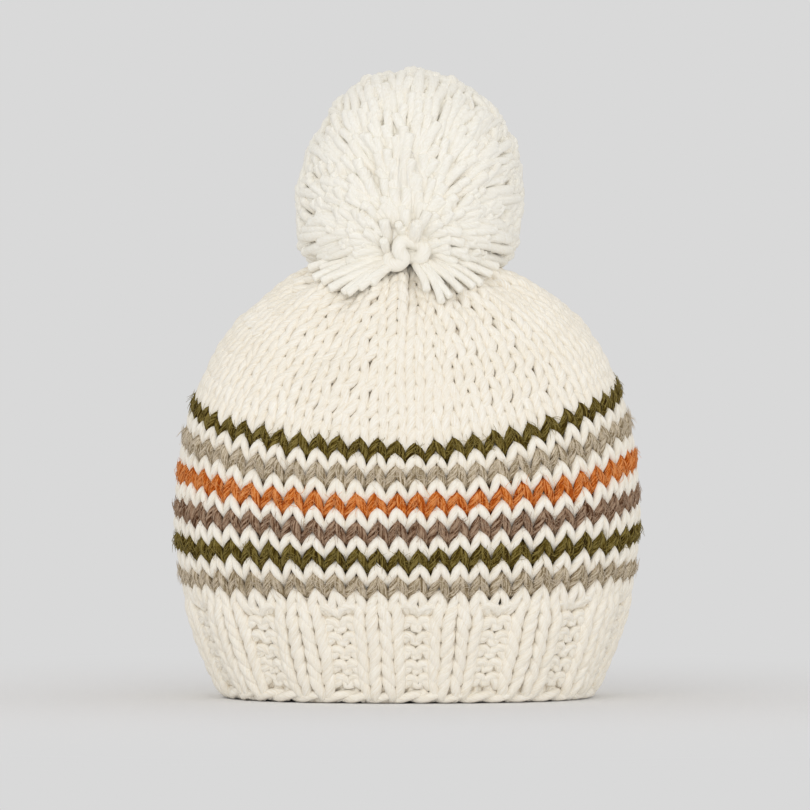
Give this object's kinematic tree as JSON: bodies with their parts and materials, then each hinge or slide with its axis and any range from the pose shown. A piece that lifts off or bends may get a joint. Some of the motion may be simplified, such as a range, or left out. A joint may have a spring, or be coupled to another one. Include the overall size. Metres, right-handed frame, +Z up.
{
  "type": "pom pom beanie",
  "caption": "Chunky knitted hat with a ribbed brim, narrow coloured stripes, a gathered crown and a floppy yarn pompom tied on top, to keep a head warm.",
  "frame": {"origin": "centre of the box that holds the hat, on the surface that its cast-on edge stands on", "axes": "+Z up from the brim to the pompom, the front that faces a viewer towards -Y, +X to that viewer's right"},
  "size_m": [0.2, 0.1506, 0.269],
  "materials": {
    "cream_yarn": "matte soft roving yarn",
    "pom_yarn": "matte soft roving yarn, cut ends",
    "olive_yarn": "matte heathered fuzzy yarn",
    "grey_yarn": "matte heathered fuzzy yarn",
    "brown_yarn": "matte heathered fuzzy yarn",
    "orange_yarn": "matte heathered fuzzy yarn",
    "yarn_ends": "matte yarn ends in the stripe colours"
  },
  "bodies": {
    "hat": {"cast_on_edge": "cream_yarn", "rib_band": "cream_yarn", "cream_round_1": "cream_yarn", "grey_round_lower": "grey_yarn", "cream_round_2": "cream_yarn", "olive_round_lower": "olive_yarn", "cream_round_3": "cream_yarn", "brown_round": "brown_yarn", "cream_round_4": "cream_yarn", "orange_round": "orange_yarn", "cream_round_5": "cream_yarn", "grey_round_upper": "grey_yarn", "cream_round_6": "cream_yarn", "olive_round_upper": "olive_yarn", "crown_sides": "cream_yarn", "crown_top": "cream_yarn", "gathering_yarn": "cream_yarn", "woven_in_tails": "yarn_ends", "tie_cord": "pom_yarn", "inside_knot": "pom_yarn"},
    "tie_bend": {"tie_neck": "pom_yarn"},
    "pompom": {"pom_strands": "pom_yarn", "pom_binding": "pom_yarn", "pom_knot": "pom_yarn"}
  },
  "joints": [
    {"name": "pompom_nod", "type": "hinge", "parent": "hat", "child": "tie_bend", "pos_m": [-0.00298, -0.02219, 0.19224], "axis": [1, 0, 0], "range_deg": [-8, 14], "stiffness_Nm_per_rad": 0.3, "springref_deg": 1.43},
    {"name": "pompom_sway", "type": "hinge", "parent": "tie_bend", "child": "pompom", "pos_m": [-0.00298, -0.02219, 0.19224], "axis": [0, 1, 0], "range_deg": [-12, 12], "stiffness_Nm_per_rad": 0.3, "springref_deg": -0.17}
  ]
}
